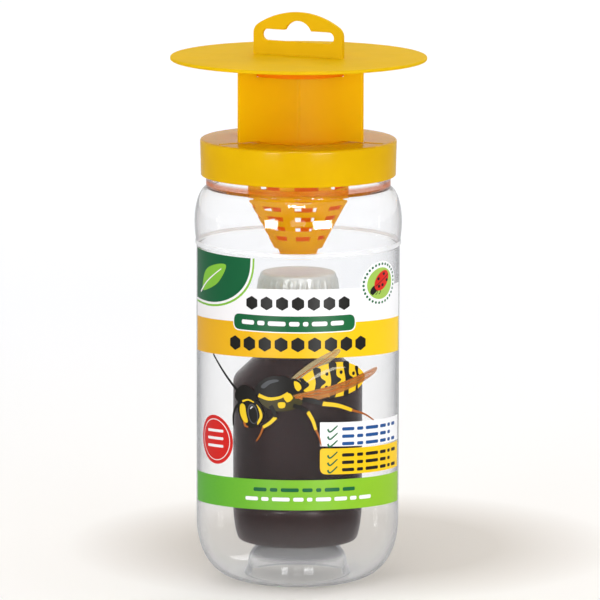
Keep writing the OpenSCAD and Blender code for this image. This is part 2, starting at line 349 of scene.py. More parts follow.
def moulded_plastic(name, dark, light, roughness, shine, glow, glow_share, grain_size=0.05):
    """Moulded plastic with fine grain; glow is the light that comes through a thin wall."""
    material, tree = start_material(name)
    colour = ramp(tree, noise(tree, 45.0, 4.0), [(0.3, srgb(*dark)), (0.7, srgb(*light))])
    grain = bump(tree, noise(tree, 2600.0, 2.0), 0.12, grain_size)
    rough = span(tree, noise(tree, 160.0, 3.0), roughness - 0.05, roughness + 0.06)
    through = add(tree, "BsdfTranslucent", {"Color": srgb(*glow)}).outputs[0]
    body = principled(tree, colour, rough, shine, 1.49, Normal=grain)
    return shaded(material, mix(tree, glow_share, body, through))


def printed(name, left, right, alpha=1.0):
    """Ink on film: left and right are its colours at the label's two sides."""
    material, tree = start_material(name)
    across = add(tree, "SeparateXYZ", {"Vector": position(tree)}).outputs["X"]
    along = span(tree, across, 0.0, 1.0, -0.045, 0.045)
    speckle = span(tree, noise(tree, 700.0, 2.0), -0.05, 0.05)
    colour = ramp(tree, calc(tree, "ADD", along, speckle), [(0.0, srgb(*left)), (1.0, srgb(*right))])
    ink = principled(tree, colour, 0.32, 0.15, Normal=bump(tree, noise(tree, 1500.0), 0.05, 0.02))
    if alpha < 1:
        ink = mix(tree, alpha, add(tree, "BsdfTransparent").outputs[0], ink)
    return shaded(material, ink)


def dark_liquid():
    material, tree = start_material("bait_liquid")
    colour = ramp(tree, noise(tree, 30.0, 2.0), [(0.3, srgb(54, 26, 24)), (0.75, srgb(62, 32, 29))])
    return shaded(material, principled(tree, colour, 0.2, 0.03, 1.34))


def seal_foam():
    material, tree = start_material("seal_foam")
    cells = add(tree, "TexVoronoi", {"Vector": position(tree), "Scale": 2200.0}).outputs["Distance"]
    colour = ramp(tree, cells, [(0.1, srgb(236, 234, 228)), (0.9, srgb(216, 214, 208))])
    return shaded(material, principled(tree, colour, 0.85, Normal=bump(tree, cells, 0.3, 0.1)))


def seal_foil():
    material, tree = start_material("seal_foil")
    crease = noise(tree, 500.0, 4.0)
    colour = ramp(tree, crease, [(0.2, srgb(196, 198, 202)), (0.8, srgb(228, 229, 232))])
    rough = span(tree, crease, 0.22, 0.4)
    foil = principled(tree, colour, rough, Metallic=1.0, Normal=bump(tree, crease, 0.25, 0.08))
    return shaded(material, foil)


def studio_floor():
    """Pale floor, with a soft shade behind the object, and duller in mirrored light."""
    material, tree = start_material("studio_floor")
    place = add(tree, "VectorMath", {0: position(tree), 1: (0.022, 0.07, 0)},
                operation="SUBTRACT").outputs["Vector"]
    away = add(tree, "VectorMath", {0: place}, operation="LENGTH").outputs["Value"]
    colour = ramp(tree, span(tree, away, 0.0, 1.0, 0.07, 2.2), [
        (0.0, srgb(217, 212, 205)), (0.014, srgb(234, 230, 225)), (0.028, srgb(249, 247, 244)),
        (0.3, srgb(247, 247, 249)), (1.0, srgb(255, 255, 255))])
    plain = add(tree, "BsdfDiffuse", {"Color": colour}).outputs[0]
    dull = add(tree, "BsdfDiffuse", {"Color": srgb(172, 172, 174)}).outputs[0]
    mirrored = span(tree, add(tree, "LightPath").outputs["Glossy Depth"], 0.0, 0.9)
    return shaded(material, mix(tree, mirrored, plain, dull))


# ---- the jar

JAR_WALL = 0.9
JAR_R = 45.2
JAR_FOOT_R = 24.5
NECK_R = 41.0
THREAD_ROOT_R = 40.2
THREAD_CREST_R = 41.7
MOUTH_R = 38.6
JAR_PITCH = 5.08
THREAD_HALF = 0.72     # Half the width of a thread ridge at its top
RING_HIGHLIGHT_Z = 151.7     # Height of the painted highlight band on the ring above the label panel
JAR_THREAD_Z = 185.74  # Height where the jar's thread ridge starts
CAP_REFLECTION_Z = 178.4    # Height of the painted orange reflection of the cap round the root of the neck


def jar_outline(inset, foot_r, panel_top, bulge_r, bulge_z, neck_root):
    """Jar wall from its foot to the root of the neck, moved inwards by inset."""
    base_corner_h = 27.5
    line = corner(foot_r - inset / 2, inset, JAR_R - inset, base_corner_h, 2.26, 26)
    line += levels(JAR_R - inset, base_corner_h, JAR_R - inset, panel_top, 12)[1:]
    ring = [(JAR_R - inset, panel_top), (JAR_R + 0.6 - inset, panel_top + 0.9),
            (JAR_R + 0.6 - inset, panel_top + 1.7), (JAR_R + 0.3 - inset, panel_top + 2.6)]
    line += rounded([line[-1]] + ring + [(JAR_R + 0.4 - inset, panel_top + 4)], 0.4, 3, False)[1:-1]
    start_r = JAR_R + 0.3
    for i in range(1, 8):
        a = pi / 2 * i / 8
        z = panel_top + 2.6 + (bulge_z - panel_top - 2.6) * i / 8
        line.append((start_r - inset + (bulge_r - start_r) * sin(a), z))
    top_z = neck_root - inset * 0.6
    shoulder = corner(NECK_R - 0.8 - inset, top_z, bulge_r - inset, bulge_z, 2, 24)[::-1]
    line += [p for p in shoulder if p[0] > NECK_R - inset + 0.1]
    return line


def make_jar(material):
    high = cad("jar")[1]
    rim = high.z
    shape = (JAR_FOOT_R, rim - 44.8, high.x, rim - 34.5, rim - 18.9)
    outer = jar_outline(0, *shape)
    inner = jar_outline(JAR_WALL, *shape)
    foot_in, punt_h = 21.6, 17.4

    def punt(r, z0, top):
        """The push-up, from its foot to its middle."""
        angles = [pi / 2 * (1 - i / 18) for i in range(19)]
        return [(r * max(cos(a), 0.0) ** (2 / 3), z0 + (top - z0) * sin(a) ** (2 / 3)) for a in angles]

    under = punt(foot_in, 0.0, punt_h - JAR_WALL)
    under[-1] = (foot_in - 0.2, 1.1)
    under += [(foot_in + 0.1, 0.4), (foot_in + 0.6, 0.08)]
    neck = [(NECK_R, rim - 18.9), (NECK_R, rim - 13.4), (THREAD_ROOT_R, rim - 12.6)]
    neck = rounded([outer[-1]] + neck + [(THREAD_ROOT_R, rim - 11)], 0.5, 3, False)[1:-1]
    neck += levels(THREAD_ROOT_R, rim - 12.2, THREAD_ROOT_R, rim - 0.8, 0.3)
    lip = [(THREAD_ROOT_R, rim - 0.8), (THREAD_ROOT_R, rim, 0.4), (MOUTH_R, rim, 0.4), (MOUTH_R, rim - 2)]
    lip = rounded(lip, 0.4, 3, False)
    inner = [p for p in inner if p[1] < rim - 20 or p[0] > 41.2]
    inside_neck = rounded([(MOUTH_R, rim - 2), (MOUTH_R, rim - 17.7), inner[-1]], 0.5, 4, False)[1:-1]
    inside_punt = punt(foot_in + JAR_WALL, JAR_WALL, punt_h)[::-1]
    profile = under + outer + neck + lip + inside_neck + inner[::-1] + inside_punt[1:]

    def radius(r, z, a):
        if z < rim - 12.3 or r < THREAD_ROOT_R - 0.05:
            return r
        crest = THREAD_CREST_R - THREAD_ROOT_R
        return r + crest * thread_height(z, a, JAR_THREAD_Z, JAR_PITCH, THREAD_HALF)

    make_piece(turned(profile, ROUND, radius), "jar_shell", [material], "jar", ["jar"])


# ---- the lid

def make_cap(material):
    low, high = cad("screw_cap")
    top = cad("entrance_basket")[1].z
    bottom = low.z
    r = high.x
    skirt_in = r - 1.5
    plate = top - 1.6
    outline = [
        (22.6, plate, 0.15), (skirt_in - 0.6, plate, 0.5), (skirt_in, plate - 0.8, 0.5),
        (skirt_in, bottom, 0.35), (r - 0.4, bottom, 0.35), (r, top, 1.3),
        (24.6, top, 0.2), (24.6, top - 0.85, 0.1), (22.6, top - 0.85, 0.15)]
    profile = []
    for point in rounded(outline, 0.2, 4):
        if profile and abs(profile[-1][0] - skirt_in) < 0.01 and abs(point[0] - skirt_in) < 0.01:
            profile += levels(*profile[-1], *point, 0.3)[1:]
        profile.append(point)
    crest = skirt_in - 40.7

    def radius(rr, z, a):
        if abs(rr - skirt_in) > 0.02:
            return rr
        return rr - crest * thread_height(z, a, bottom + 1.6, JAR_PITCH, THREAD_HALF)

    make_piece(turned(profile, ROUND, radius), "cap_shell", [material], "cap",
               ["screw_cap"], sharp=38)
    make_cap_ribs(material, r, top)


def spoke(angle):
    """Level directions along a spoke at this angle, and across it."""
    along = Vector((cos(angle), sin(angle), 0))
    return along, Vector((-along.y, along.x, 0))


def make_cap_ribs(material, cap_r, top):
    """Low radial ribs on the cap's top, one in line with each vane."""
    bm = bmesh.new()
    for angle in VANE_ANGLES:
        along, side = spoke(angle)
        ends = []
        for reach in (32.3, cap_r - 2.0):
            ring = []
            for across, up in ((-0.45, -0.05), (-0.3, 0.22), (0, 0.3), (0.3, 0.22), (0.45, -0.05)):
                ring.append(bm.verts.new((along * reach + side * across
                                          + Vector((0, 0, top + up))) * MM))
            ends.append(ring)
        for i in range(5):
            j = (i + 1) % 5
            bm.faces.new((ends[0][i], ends[0][j], ends[1][j], ends[1][i]))
        bm.faces.new(ends[0][::-1])
        bm.faces.new(ends[1])
    make_piece(bm, "cap_ribs", [material], "cap", sharp=60)


VANE_ANGLES = [radians(93.5 + 120 * k) for k in range(3)]
VANE_T = 1.6


def make_basket(material, inside_shade_material):
    low, high = cad("entrance_basket")
    top, bottom, flange = high.z, low.z, high.x
    wall_t = 0.9
    outer_r, inner_r = flange - 2, flange - 2 - wall_t
    cone_low, cone_high = bottom + 3.3, bottom + 25.7
    cone_r = 10.8
    slot_h, slot_pitch, rows = 2.1, 4.7, 6
    first_slot = bottom + 8.7

    def outside(z):
        share = min(max((z - cone_low) / (cone_high - cone_low), 0), 1)
        return cone_r + (outer_r - cone_r) * share

    def inside(z):
        low_z, high_z, low_r = cone_low + wall_t, cone_high + 0.3, cone_r - wall_t
        return low_r + (inner_r - low_r) * min(max((z - low_z) / (high_z - low_z), 0), 1)

    slots = [first_slot + row * slot_pitch for row in range(rows)]
    edges = [z + side * slot_h / 2 for z in slots for side in (-1, 0, 1)]
    edges = sorted(edges + [cone_low + 1.0, cone_high - 0.01, top - 6])
    holes = {k for k, pair in enumerate(zip(edges, edges[1:]))
             if any(abs(sum(pair) / 2 - z) < slot_h / 2 for z in slots)}
    columns = []
    for k in range(8):
        rib = 32 + 45 * k
        columns += [(radians(rib - 8.5 + 4.25 * i), False) for i in range(4)]
        columns += [(radians(rib + 8.5 + 3.5 * i), True) for i in range(8)]
    wall = [(outside(z), z) for z in edges]
    flange_line = rounded([wall[-1], (outer_r, top - 0.8, 0.3), (flange, top - 0.8, 0.2),
                           (flange, top, 0.25), (inner_r, top, 0.35), (inner_r, edges[-1])],
                          0.2, 3, False)[1:-1]
    back = [(inside(z), z) for z in edges][::-1]
    spout = rounded([back[-1], (cone_r - wall_t, cone_low + wall_t, 0.3), (8.4, cone_low + wall_t, 0.2),
                     (7.0, bottom, 0.15), (7.9, bottom, 0.2), (9.3, cone_low, 0.3),
                     (cone_r, cone_low, 0.3), wall[0]], 0.2, 3, False)[1:-1]
    loop = wall + flange_line + back + spout
    bm = bmesh.new()
    rings = [[bm.verts.new((r * cos(a) * MM, r * sin(a) * MM, z * MM)) for a, _ in columns]
             for r, z in loop]
    count = len(columns)
    last = len(wall) + len(flange_line) + len(back) - 1

    def is_open(k, i):
        return k in holes and columns[i % count][1]

    for k in range(len(loop)):
        level = k if k < len(wall) - 1 else last - 1 - k
        for i in range(count):
            in_wall = k < len(wall) - 1 or len(wall) + len(flange_line) <= k < last
            if in_wall and is_open(level, i):
                continue
            a, b = rings[k], rings[(k + 1) % len(loop)]
            bm.faces.new((a[i], a[(i + 1) % count], b[(i + 1) % count], b[i]))
    for k in range(len(wall) - 1):
        for i in range(count):
            j = (i + 1) % count
            up_out, up_in = rings[k + 1], rings[last - k - 1]
            low_out, low_in = rings[k], rings[last - k]
            if is_open(k, i) != is_open(k, i - 1):
                bm.faces.new((low_out[i], up_out[i], up_in[i], low_in[i]))
            if k and is_open(k, i) != is_open(k - 1, i):
                bm.faces.new((low_out[i], low_out[j], low_in[j], low_in[i]))
    bmesh.ops.recalc_face_normals(bm, faces=bm.faces)
    # Painted shade: faces that look inwards take the deeper orange copy of the gold.
    for face in bm.faces:
        middle = face.calc_center_median()
        if face.normal.x * middle.x + face.normal.y * middle.y < -0.3 * middle.xy.length:
            face.material_index = 1
    make_piece(bm, "basket_funnel", [material, inside_shade_material], "basket", ["entrance_basket"],
               bevel=0.14)


def make_vanes(material):
    bottom, top = (point.z for point in cad("vane_insert"))
    step_z = cad("entrance_basket")[1].z + 0.1
    reach = 31.8
    notch_z = top - 6.35
    radii = [1.27, 20.68, 21.0, 22.52, reach]
    heights = [bottom, step_z, notch_z, top]

    def solid(i, j):
        """Whether a vane fills column i between row j and the next; a notch holds the roof's collar."""
        return j in {0: (0, 1, 2), 1: (0, 1), 2: (1,), 3: (1, 2)}.get(i, ())

    bm = bmesh.new()
    half = VANE_T / 2
    for angle in VANE_ANGLES:
        along, side = spoke(angle)

        def spot(r, z, s):
            return bm.verts.new((along * r + side * s * half + Vector((0, 0, z))) * MM)

        for i in range(4):
            for j in range(3):
                if not solid(i, j):
                    continue
                r0, r1, z0, z1 = radii[i], radii[i + 1], heights[j], heights[j + 1]
                for s in (-1, 1):
                    bm.faces.new((spot(r0, z0, s), spot(r1, z0, s), spot(r1, z1, s), spot(r0, z1, s)))
                for (di, dj), (a, b) in {(1, 0): ((r1, z0), (r1, z1)), (-1, 0): ((r0, z0), (r0, z1)),
                                         (0, 1): ((r0, z1), (r1, z1)), (0, -1): ((r0, z0), (r1, z0))}.items():
                    if solid(i + di, j + dj) or (i == 0 and di == -1):
                        continue
                    bm.faces.new((spot(*a, -1), spot(*b, -1), spot(*b, 1), spot(*a, 1)))
    hub = []
    for k, angle in enumerate(VANE_ANGLES):
        spread = atan2(half, radii[0])
        hub.append((angle - spread, hypot(half, radii[0])))
        hub.append((angle + spread, hypot(half, radii[0])))
        gap = TAU / 3 - 2 * spread
        hub += [(angle + spread + gap * t, 1.5 - 0.25 * sin(pi * t)) for t in (0.25, 0.5, 0.75)]
    rings = [[bm.verts.new((r * cos(a) * MM, r * sin(a) * MM, z * MM)) for a, r in hub]
             for z in heights]
    for k in range(len(heights) - 1):
        for i in range(len(hub)):
            if i % 5 == 0:
                continue
            j = (i + 1) % len(hub)
            bm.faces.new((rings[k][i], rings[k][j], rings[k + 1][j], rings[k + 1][i]))
    bm.faces.new(rings[0][::-1])
    bm.faces.new(rings[-1])
    bmesh.ops.remove_doubles(bm, verts=bm.verts, dist=0.01 * MM)
    make_piece(bm, "vane_cross", [material], "vanes", ["vane_insert"],
               bevel=0.22)


def tab_loops():
    """Outline of the hanging tab and of its slot, as (across, height) above the roof."""
    tab_h, half, arch, fillet = 19.4, 22.0, 36.0, 5.0
    arch_z = tab_h - arch
    cx = half - fillet
    cz = arch_z + sqrt((arch - fillet) ** 2 - cx * cx)
    meet = degrees(atan2(cz - arch_z, cx))
    side = arc(0, arch_z, arch, 90, meet, 18) + arc(cx, cz, fillet, meet, 0, 10)[1:]
    side += [(half, 4.0), (half, -0.6)]
    outline = side + [(-x, z) for x, z in side[::-1] if abs(x) > 1e-6]
    reach, low, height, hook_r, hook_z = 17.8, 6.2, 5.1, 7.0, 8.6
    end = height / 2
    top = low + height
    hook_x = sqrt(hook_r ** 2 - (top - hook_z) ** 2)
    lift = degrees(atan2(top - hook_z, hook_x))
    slot = arc(reach - end, low + end, end, -90, 90, 12)
    slot += rounded([(reach - end, top), (hook_x, top, 0.8), arc(0, hook_z, hook_r, lift, 90, 10)[1]],
                    0.8, 4, False)[1:]
    slot += arc(0, hook_z, hook_r, lift, 180 - lift, 22)[2:-2]
    slot += rounded([arc(0, hook_z, hook_r, 180 - lift, 90, 10)[1], (-hook_x, top, 0.8), (-reach + end, top)],
                    0.8, 4, False)[:-1]
    slot += arc(-reach + end, low + end, end, 90, 270, 12)
    return outline, slot


def make_roof(material, collar_shade_material):
    low, high = cad("rain_roof")
    plate_top = high.z - 19.4
    plate_low = plate_top - 1.6
    edge_r = high.x
    collar_low = low.z
    outline = [(0.0, plate_top), (20, plate_top), (40, plate_top), (edge_r, plate_top, 0.75),
               (edge_r, plate_low, 0.7), (40, plate_low), (22.4, plate_low, 0.5),
               (22.4, collar_low, 0.3), (20.8, collar_low, 0.3), (20.8, plate_low, 0.4), (0.0, plate_low)]
    bm = turned(rounded([p if len(p) > 2 else p + (0,) for p in outline], 0, 5), ROUND)
    # Painted shade: the collar's outer side under the plate takes the deeper orange copy of the gold, for the
    # shade beneath the roof.
    for face in bm.faces:
        middle = face.calc_center_median() / MM
        face.material_index = int(middle.z < plate_low - 0.1 and middle.xy.length > 20)
    make_piece(bm, "roof_disc", [material, collar_shade_material], "roof", ["rain_roof"])

    bm = bmesh.new()
    along, across = spoke(radians(93.5 - 90 - 30))
    edges = []
    for loop in tab_loops():
        clean = [p for i, p in enumerate(loop) if dist(p, loop[i - 1]) > 0.02]
        verts = [bm.verts.new((along * x + across * -1.0 + Vector((0, 0, plate_top + z))) * MM)
                 for x, z in clean]
        edges += [bm.edges.new((verts[i - 1], verts[i])) for i in range(len(verts))]
    bmesh.ops.triangle_fill(bm, use_beauty=True, edges=edges)
    made = bmesh.ops.extrude_face_region(bm, geom=bm.faces[:], use_keep_orig=True)
    moved = [g for g in made["geom"] if isinstance(g, bmesh.types.BMVert)]
    bmesh.ops.translate(bm, verts=moved, vec=across * 2.0 * MM)
    make_piece(bm, "roof_tab", [material], "roof", sharp=40, bevel=0.35)


# ---- the bait bottle

BOTTLE_WALL = 0.9
BOTTLE_NECK_R = 14.2
BOTTLE_PITCH = 3.2


def bottle_outline(inset, low, r, bead_z):
    """Bottle wall from its base to the foot of the neck, moved inwards by inset."""
    line = corner(r - 2.6 - inset, low + inset, r - inset, low + 15, 1.6, 16)
    groove = low + 16.7
    cut = [(r - inset, groove - 0.5), (r - inset - 0.1, groove), (r - inset - 0.7, groove + 0.7),
           (r - inset - 0.7, groove + 2.9), (r - inset - 0.1, groove + 3.6), (r - inset, groove + 4.1)]
    line += rounded([line[-1]] + cut + [(r - inset, groove + 9)], 0.5, 3, False)[1:-1]
    line += levels(r - inset, groove + 6, r - inset, low + 70.5, 12)
    line += arc(r - 6, low + 70.5, 6 - inset, 0, 45, 10)
    line += arc(BOTTLE_NECK_R + 4.2, bead_z - 3, 4.2 + inset, 225, 180, 8)
    return line


def make_bottle(material):
    low, high = cad("bait_bottle")
    base, rim, r = low.z, high.z, high.x
    bead_z = base + 92
    outer = bottle_outline(0, base, r, bead_z)
    inner = bottle_outline(BOTTLE_WALL, base, r, bead_z)
    bead = rounded([(BOTTLE_NECK_R, bead_z - 2), (BOTTLE_NECK_R, bead_z, 0.3), (16.4, bead_z + 0.3, 0.4),
                    (16.4, bead_z + 1.7, 0.4), (BOTTLE_NECK_R, bead_z + 2, 0.3),
                    (BOTTLE_NECK_R, bead_z + 4)], 0.3, 3, False)[1:]
    neck = levels(BOTTLE_NECK_R, bead_z + 4, BOTTLE_NECK_R, rim - 0.5, 0.35)[1:]
    lip = rounded([(BOTTLE_NECK_R, rim - 0.5), (BOTTLE_NECK_R, rim, 0.3), (12.8, rim, 0.3),
                   (12.8, rim - 1)], 0.3, 3, False)
    bore = [(12.8, rim - 12), (12.8, bead_z)]
    profile = [(0, base + 0.8), (12, base + 0.7), (20, base + 0.25), (23.5, base)]
    profile += outer + bead + neck + lip + bore + inner[::-1]
    profile += [(20, base + 1.15), (12, base + 1.6), (0, base + 1.7)]

    def radius(rr, z, a):
        if abs(rr - BOTTLE_NECK_R) > 0.01 or z < bead_z + 4:
            return rr
        return rr + 0.9 * thread_height(z, a, rim - 9.8, BOTTLE_PITCH, 0.5)

    make_piece(turned(profile, ROUND, radius), "bottle_shell", [material], "bottle",
               ["bait_bottle"])


def make_liquid(material):
    base = cad("bait_bottle")[0].z
    level = cad("bait_liquid")[1].z
    r = cad("bait_bottle")[1].x
    gap = BOTTLE_WALL + 0.04
    wall = [p for p in bottle_outline(gap, base, r, base + 92) if p[1] < level - 1.2]
    side = r - gap
    profile = [(0, base + 1.75), (12, base + 1.65), (20, base + 1.2)] + wall
    profile += [(side, level - 0.1), (side - 0.25, level - 0.35), (side - 0.8, level - 0.75),
                (side - 2, level - 1.0), (side - 6, level - 1.05), (0, level - 1.05)]
    make_piece(turned(profile, ROUND_SMALL), "liquid_fill", [material], "bottle",
               ["bait_liquid"], sharp=50)


def make_closure(material):
    bottom, top = (point.z for point in cad("bottle_closure"))
    r0, r1 = 20.4, 16.9
    ribs = 32
    side = levels(r0, bottom + 0.35, r1, top - 1.4, 0.8)
    outer = [(r0 - 0.3, bottom), *side] + arc(r1 - 1.4, top - 1.4, 1.4, 0, 90, 6)
    outer += [(11, top), (9.5, top - 0.15), (0, top - 0.15)]
    inner = [(0, top - 1.2), (15.6, top - 1.2)]
    inner += levels(15.6, top - 1.6, 15.6, top - 14.7, 0.35)
    inner += [(15.75, top - 15), (16.35, top - 15), (16.5, top - 14.8), (16.5, top - 9),
              (r0 - 1, bottom + 0.2), (r0 - 0.8, bottom)]

    def radius(r, z, a):
        line = r0 + (r1 - r0) * (z - bottom - 0.35) / (top - 1.4 - bottom - 0.35)
        if abs(r - line) < 0.05 and r > 16.6:
            fade = smooth_step((z - bottom - 0.3) / 1.2) * smooth_step((top - 1.6 - z) / 1.5)
            return r + 0.6 * fade * (0.5 + 0.5 * cos(ribs * a)) ** 3
        if abs(r - 15.6) < 0.01 and z < top - 1.4:
            return r - 0.9 * thread_height(z, a, top - 13.8, BOTTLE_PITCH, 0.5)
        return r

    make_piece(turned(outer + inner, ribs * 10, radius), "closure_cap", [material], "closure",
               ["bottle_closure"], sharp=45)


# ---- the label

COLUMN = 1.5           # Widest strip of print, so that it follows the jar
LAYER = 0.03           # Height of one layer of print
LABEL_R = 45.32
SAG = 3.0              # How far a band's ends hang below its middle


def sagged(s, z):
    """A height on the label's bands, which hang a little towards the sides."""
    return z - SAG * (1 - cos(s / LABEL_R))


def band(s0, s1, z0, z1, steps=40):
    """Outline of a strip round the jar."""
    line = [s0 + (s1 - s0) * i / steps for i in range(steps + 1)]
    return [(s, sagged(s, z0)) for s in line] + [(s, sagged(s, z1)) for s in line[::-1]]


def oval(s, z, across, up, tilt=0.0, steps=40):
    """Outline of an ellipse; tilt is in degrees."""
    c, d = cos(radians(tilt)), sin(radians(tilt))
    points = []
    for i in range(steps):
        a = TAU * i / steps
        x, y = across * cos(a), up * sin(a)
        points.append((s + x * c - y * d, z + x * d + y * c))
    return points


def curve(points, steps=6, closed=True):
    """Smooth line through a few given points."""
    out = []
    count = len(points)
    pieces = count if closed else count - 1
    for i in range(pieces):
        if closed:
            p = [Vector(points[(i + k) % count]) for k in (-1, 0, 1, 2)]
        else:
            p = [Vector(points[min(max(i + k, 0), count - 1)]) for k in (-1, 0, 1, 2)]
        for k in range(steps):
            t = k / steps
            out.append(tuple(0.5 * ((2 * p[1]) + (p[2] - p[0]) * t
                                    + (2 * p[0] - 5 * p[1] + 4 * p[2] - p[3]) * t ** 2
                                    + (3 * p[1] - p[0] - 3 * p[2] + p[3]) * t ** 3)))
    if not closed:
        out.append(tuple(points[-1]))
    return out


def stroke(points, start, end):
    """Outline of a drawn line that tapers from start to end in width."""
    line = curve(points, 6, closed=False)
    left, right = [], []
    for i, point in enumerate(line):
        here = Vector(point)
        ahead = Vector(line[min(i + 1, len(line) - 1)]) - Vector(line[max(i - 1, 0)])
        side = Vector((-ahead.y, ahead.x)).normalized()
        half = (start + (end - start) * i / (len(line) - 1)) / 2
        left.append(tuple(here + side * half))
        right.append(tuple(here - side * half))
    return left + right[::-1]


def wrap(point, r):
    """A point of the label sheet placed on the jar at radius r."""
    a = point[0] / LABEL_R
    return Vector((r * sin(a), -r * cos(a), point[1])) * MM


def add_patch(bm, outline, layer, index):
    """A thin closed patch of one ink, laid on the film at its own layer."""
    flat = bmesh.new()
    verts = [flat.verts.new((s, z, 0)) for s, z in outline]
    face = flat.faces.new(verts)
    bmesh.ops.triangulate(flat, faces=[face])
    reach = [s for s, _ in outline]
    for k in range(ceil(min(reach) / COLUMN), int(max(reach) // COLUMN) + 1):
        bmesh.ops.bisect_plane(flat, geom=flat.verts[:] + flat.edges[:] + flat.faces[:],
                               plane_co=(k * COLUMN, 0, 0), plane_no=(1, 0, 0), dist=1e-5)
    low = LABEL_R + 0.004 + LAYER * layer
    flat.verts.ensure_lookup_table()
    base = [bm.verts.new(wrap(v.co, low)) for v in flat.verts]
    front = [bm.verts.new(wrap(v.co, low + 0.6 * LAYER)) for v in flat.verts]
    for f in flat.faces:
        ids = [v.index for v in f.verts]
        for made in (bm.faces.new([front[i] for i in ids]), bm.faces.new([base[i] for i in ids[::-1]])):
            made.material_index = index
    for edge in flat.edges:
        if len(edge.link_faces) == 1:
            a, b = (v.index for v in edge.verts)
            bm.faces.new((base[a], base[b], front[b], front[a])).material_index = index
    flat.free()


def make_film(material):
    low, high = cad("jar_label")
    reach = radians(80) * LABEL_R
    corners = [(-reach, low.z), (reach, low.z), (reach, high.z), (-reach, high.z)]
    bm = bmesh.new()
    add_patch(bm, rounded(corners, 2.5, 5), 0, 0)
    for v in bm.verts:
        r = hypot(v.co.x, v.co.y)
        new = (LABEL_R - 0.1 if r < (LABEL_R + 0.01) * MM else LABEL_R) * MM
        v.co.x *= new / r
        v.co.y *= new / r
    make_piece(bm, "label_film", [material], "jar", ["jar_label"], sharp=60)


INKS = {
    "leaf_green": ((86, 168, 48), (152, 204, 40)),
    "yellow": ((222, 164, 18), (255, 210, 6)),
    "white": ((236, 233, 234), (250, 250, 252)),
    "deep_green": ((12, 88, 52), (18, 108, 58)),
    "light_green": ((120, 184, 48), (170, 205, 90)),
    "red": ((204, 30, 24), (222, 36, 28)),
    "black": ((24, 22, 20), (30, 28, 26)),
    "slate": ((78, 80, 84), (66, 68, 72)),
    "blue": ((24, 76, 140), (30, 84, 150)),
    "wasp_yellow": ((226, 196, 40), (250, 200, 20)),
    "amber": ((176, 98, 34), (164, 88, 28)),
    "olive": ((70, 64, 34), (60, 56, 30)),
    "amber_wing": ((206, 140, 70), (196, 124, 56), 0.5),
    "sheen": ((255, 251, 228), (252, 246, 218), 0.2),
    "pale_wing": ((205, 185, 140), (200, 180, 130), 0.4),
}


def draw_bars(patch, start, end, z, tall, layer, ink, slope=0.0, sag=False):
    """A row of plain bars of uneven length, in place of a line of lettering."""
    lengths = (6.2, 3.4, 8.0, 4.6, 2.4, 7.0)
    s, k = start, 0
    while s < end - 2:
        stop = min(s + lengths[k % len(lengths)], end)
        a, b = (z + (sagged(x, 0) if sag else slope * (x - start)) for x in (s, stop))
        patch(rounded([(s, a), (stop, b), (stop, b + tall), (s, a + tall)], tall * 0.45, 4), layer, ink)
        s, k = stop + 1.5, k + 1


def draw_comb(patch, count, z, size, pitch, layer):
    """A row of solid hexagons, as in a honeycomb, in place of a title."""
    for k in range(count):
        s = (k - (count - 1) / 2) * pitch
        angles = [TAU * (i + 0.5) / 6 for i in range(6)]
        cell = [(s + size * cos(a), sagged(s, z) + size * sin(a)) for a in angles]
        patch(rounded(cell, 0.5, 3), layer, "black")


def draw_marks(patch, *marks):
    """Each mark is an ink, a layer, a line's two end widths or None for a filled shape, and points."""
    for ink, layer, widths, *points in marks:
        patch(stroke(points, *widths) if widths else curve(points), layer, ink)


def draw_leg(patch, layer, *joints, thick=1.8):
    """A wasp's leg: dark thigh, yellow shin and thin amber foot, through four joints."""
    parts = (("black", 1.1, 0.95), ("wasp_yellow", 0.95, 0.7), ("amber", 0.5, 0.28))
    for k, (ink, start, end) in enumerate(parts):
        a, b = Vector(joints[k]), Vector(joints[k + 1])
        bow = Vector((a.y - b.y, b.x - a.x)) * 0.05
        patch(stroke([a, (a + b) / 2 + bow, b], thick * start, thick * end), layer - k, ink)


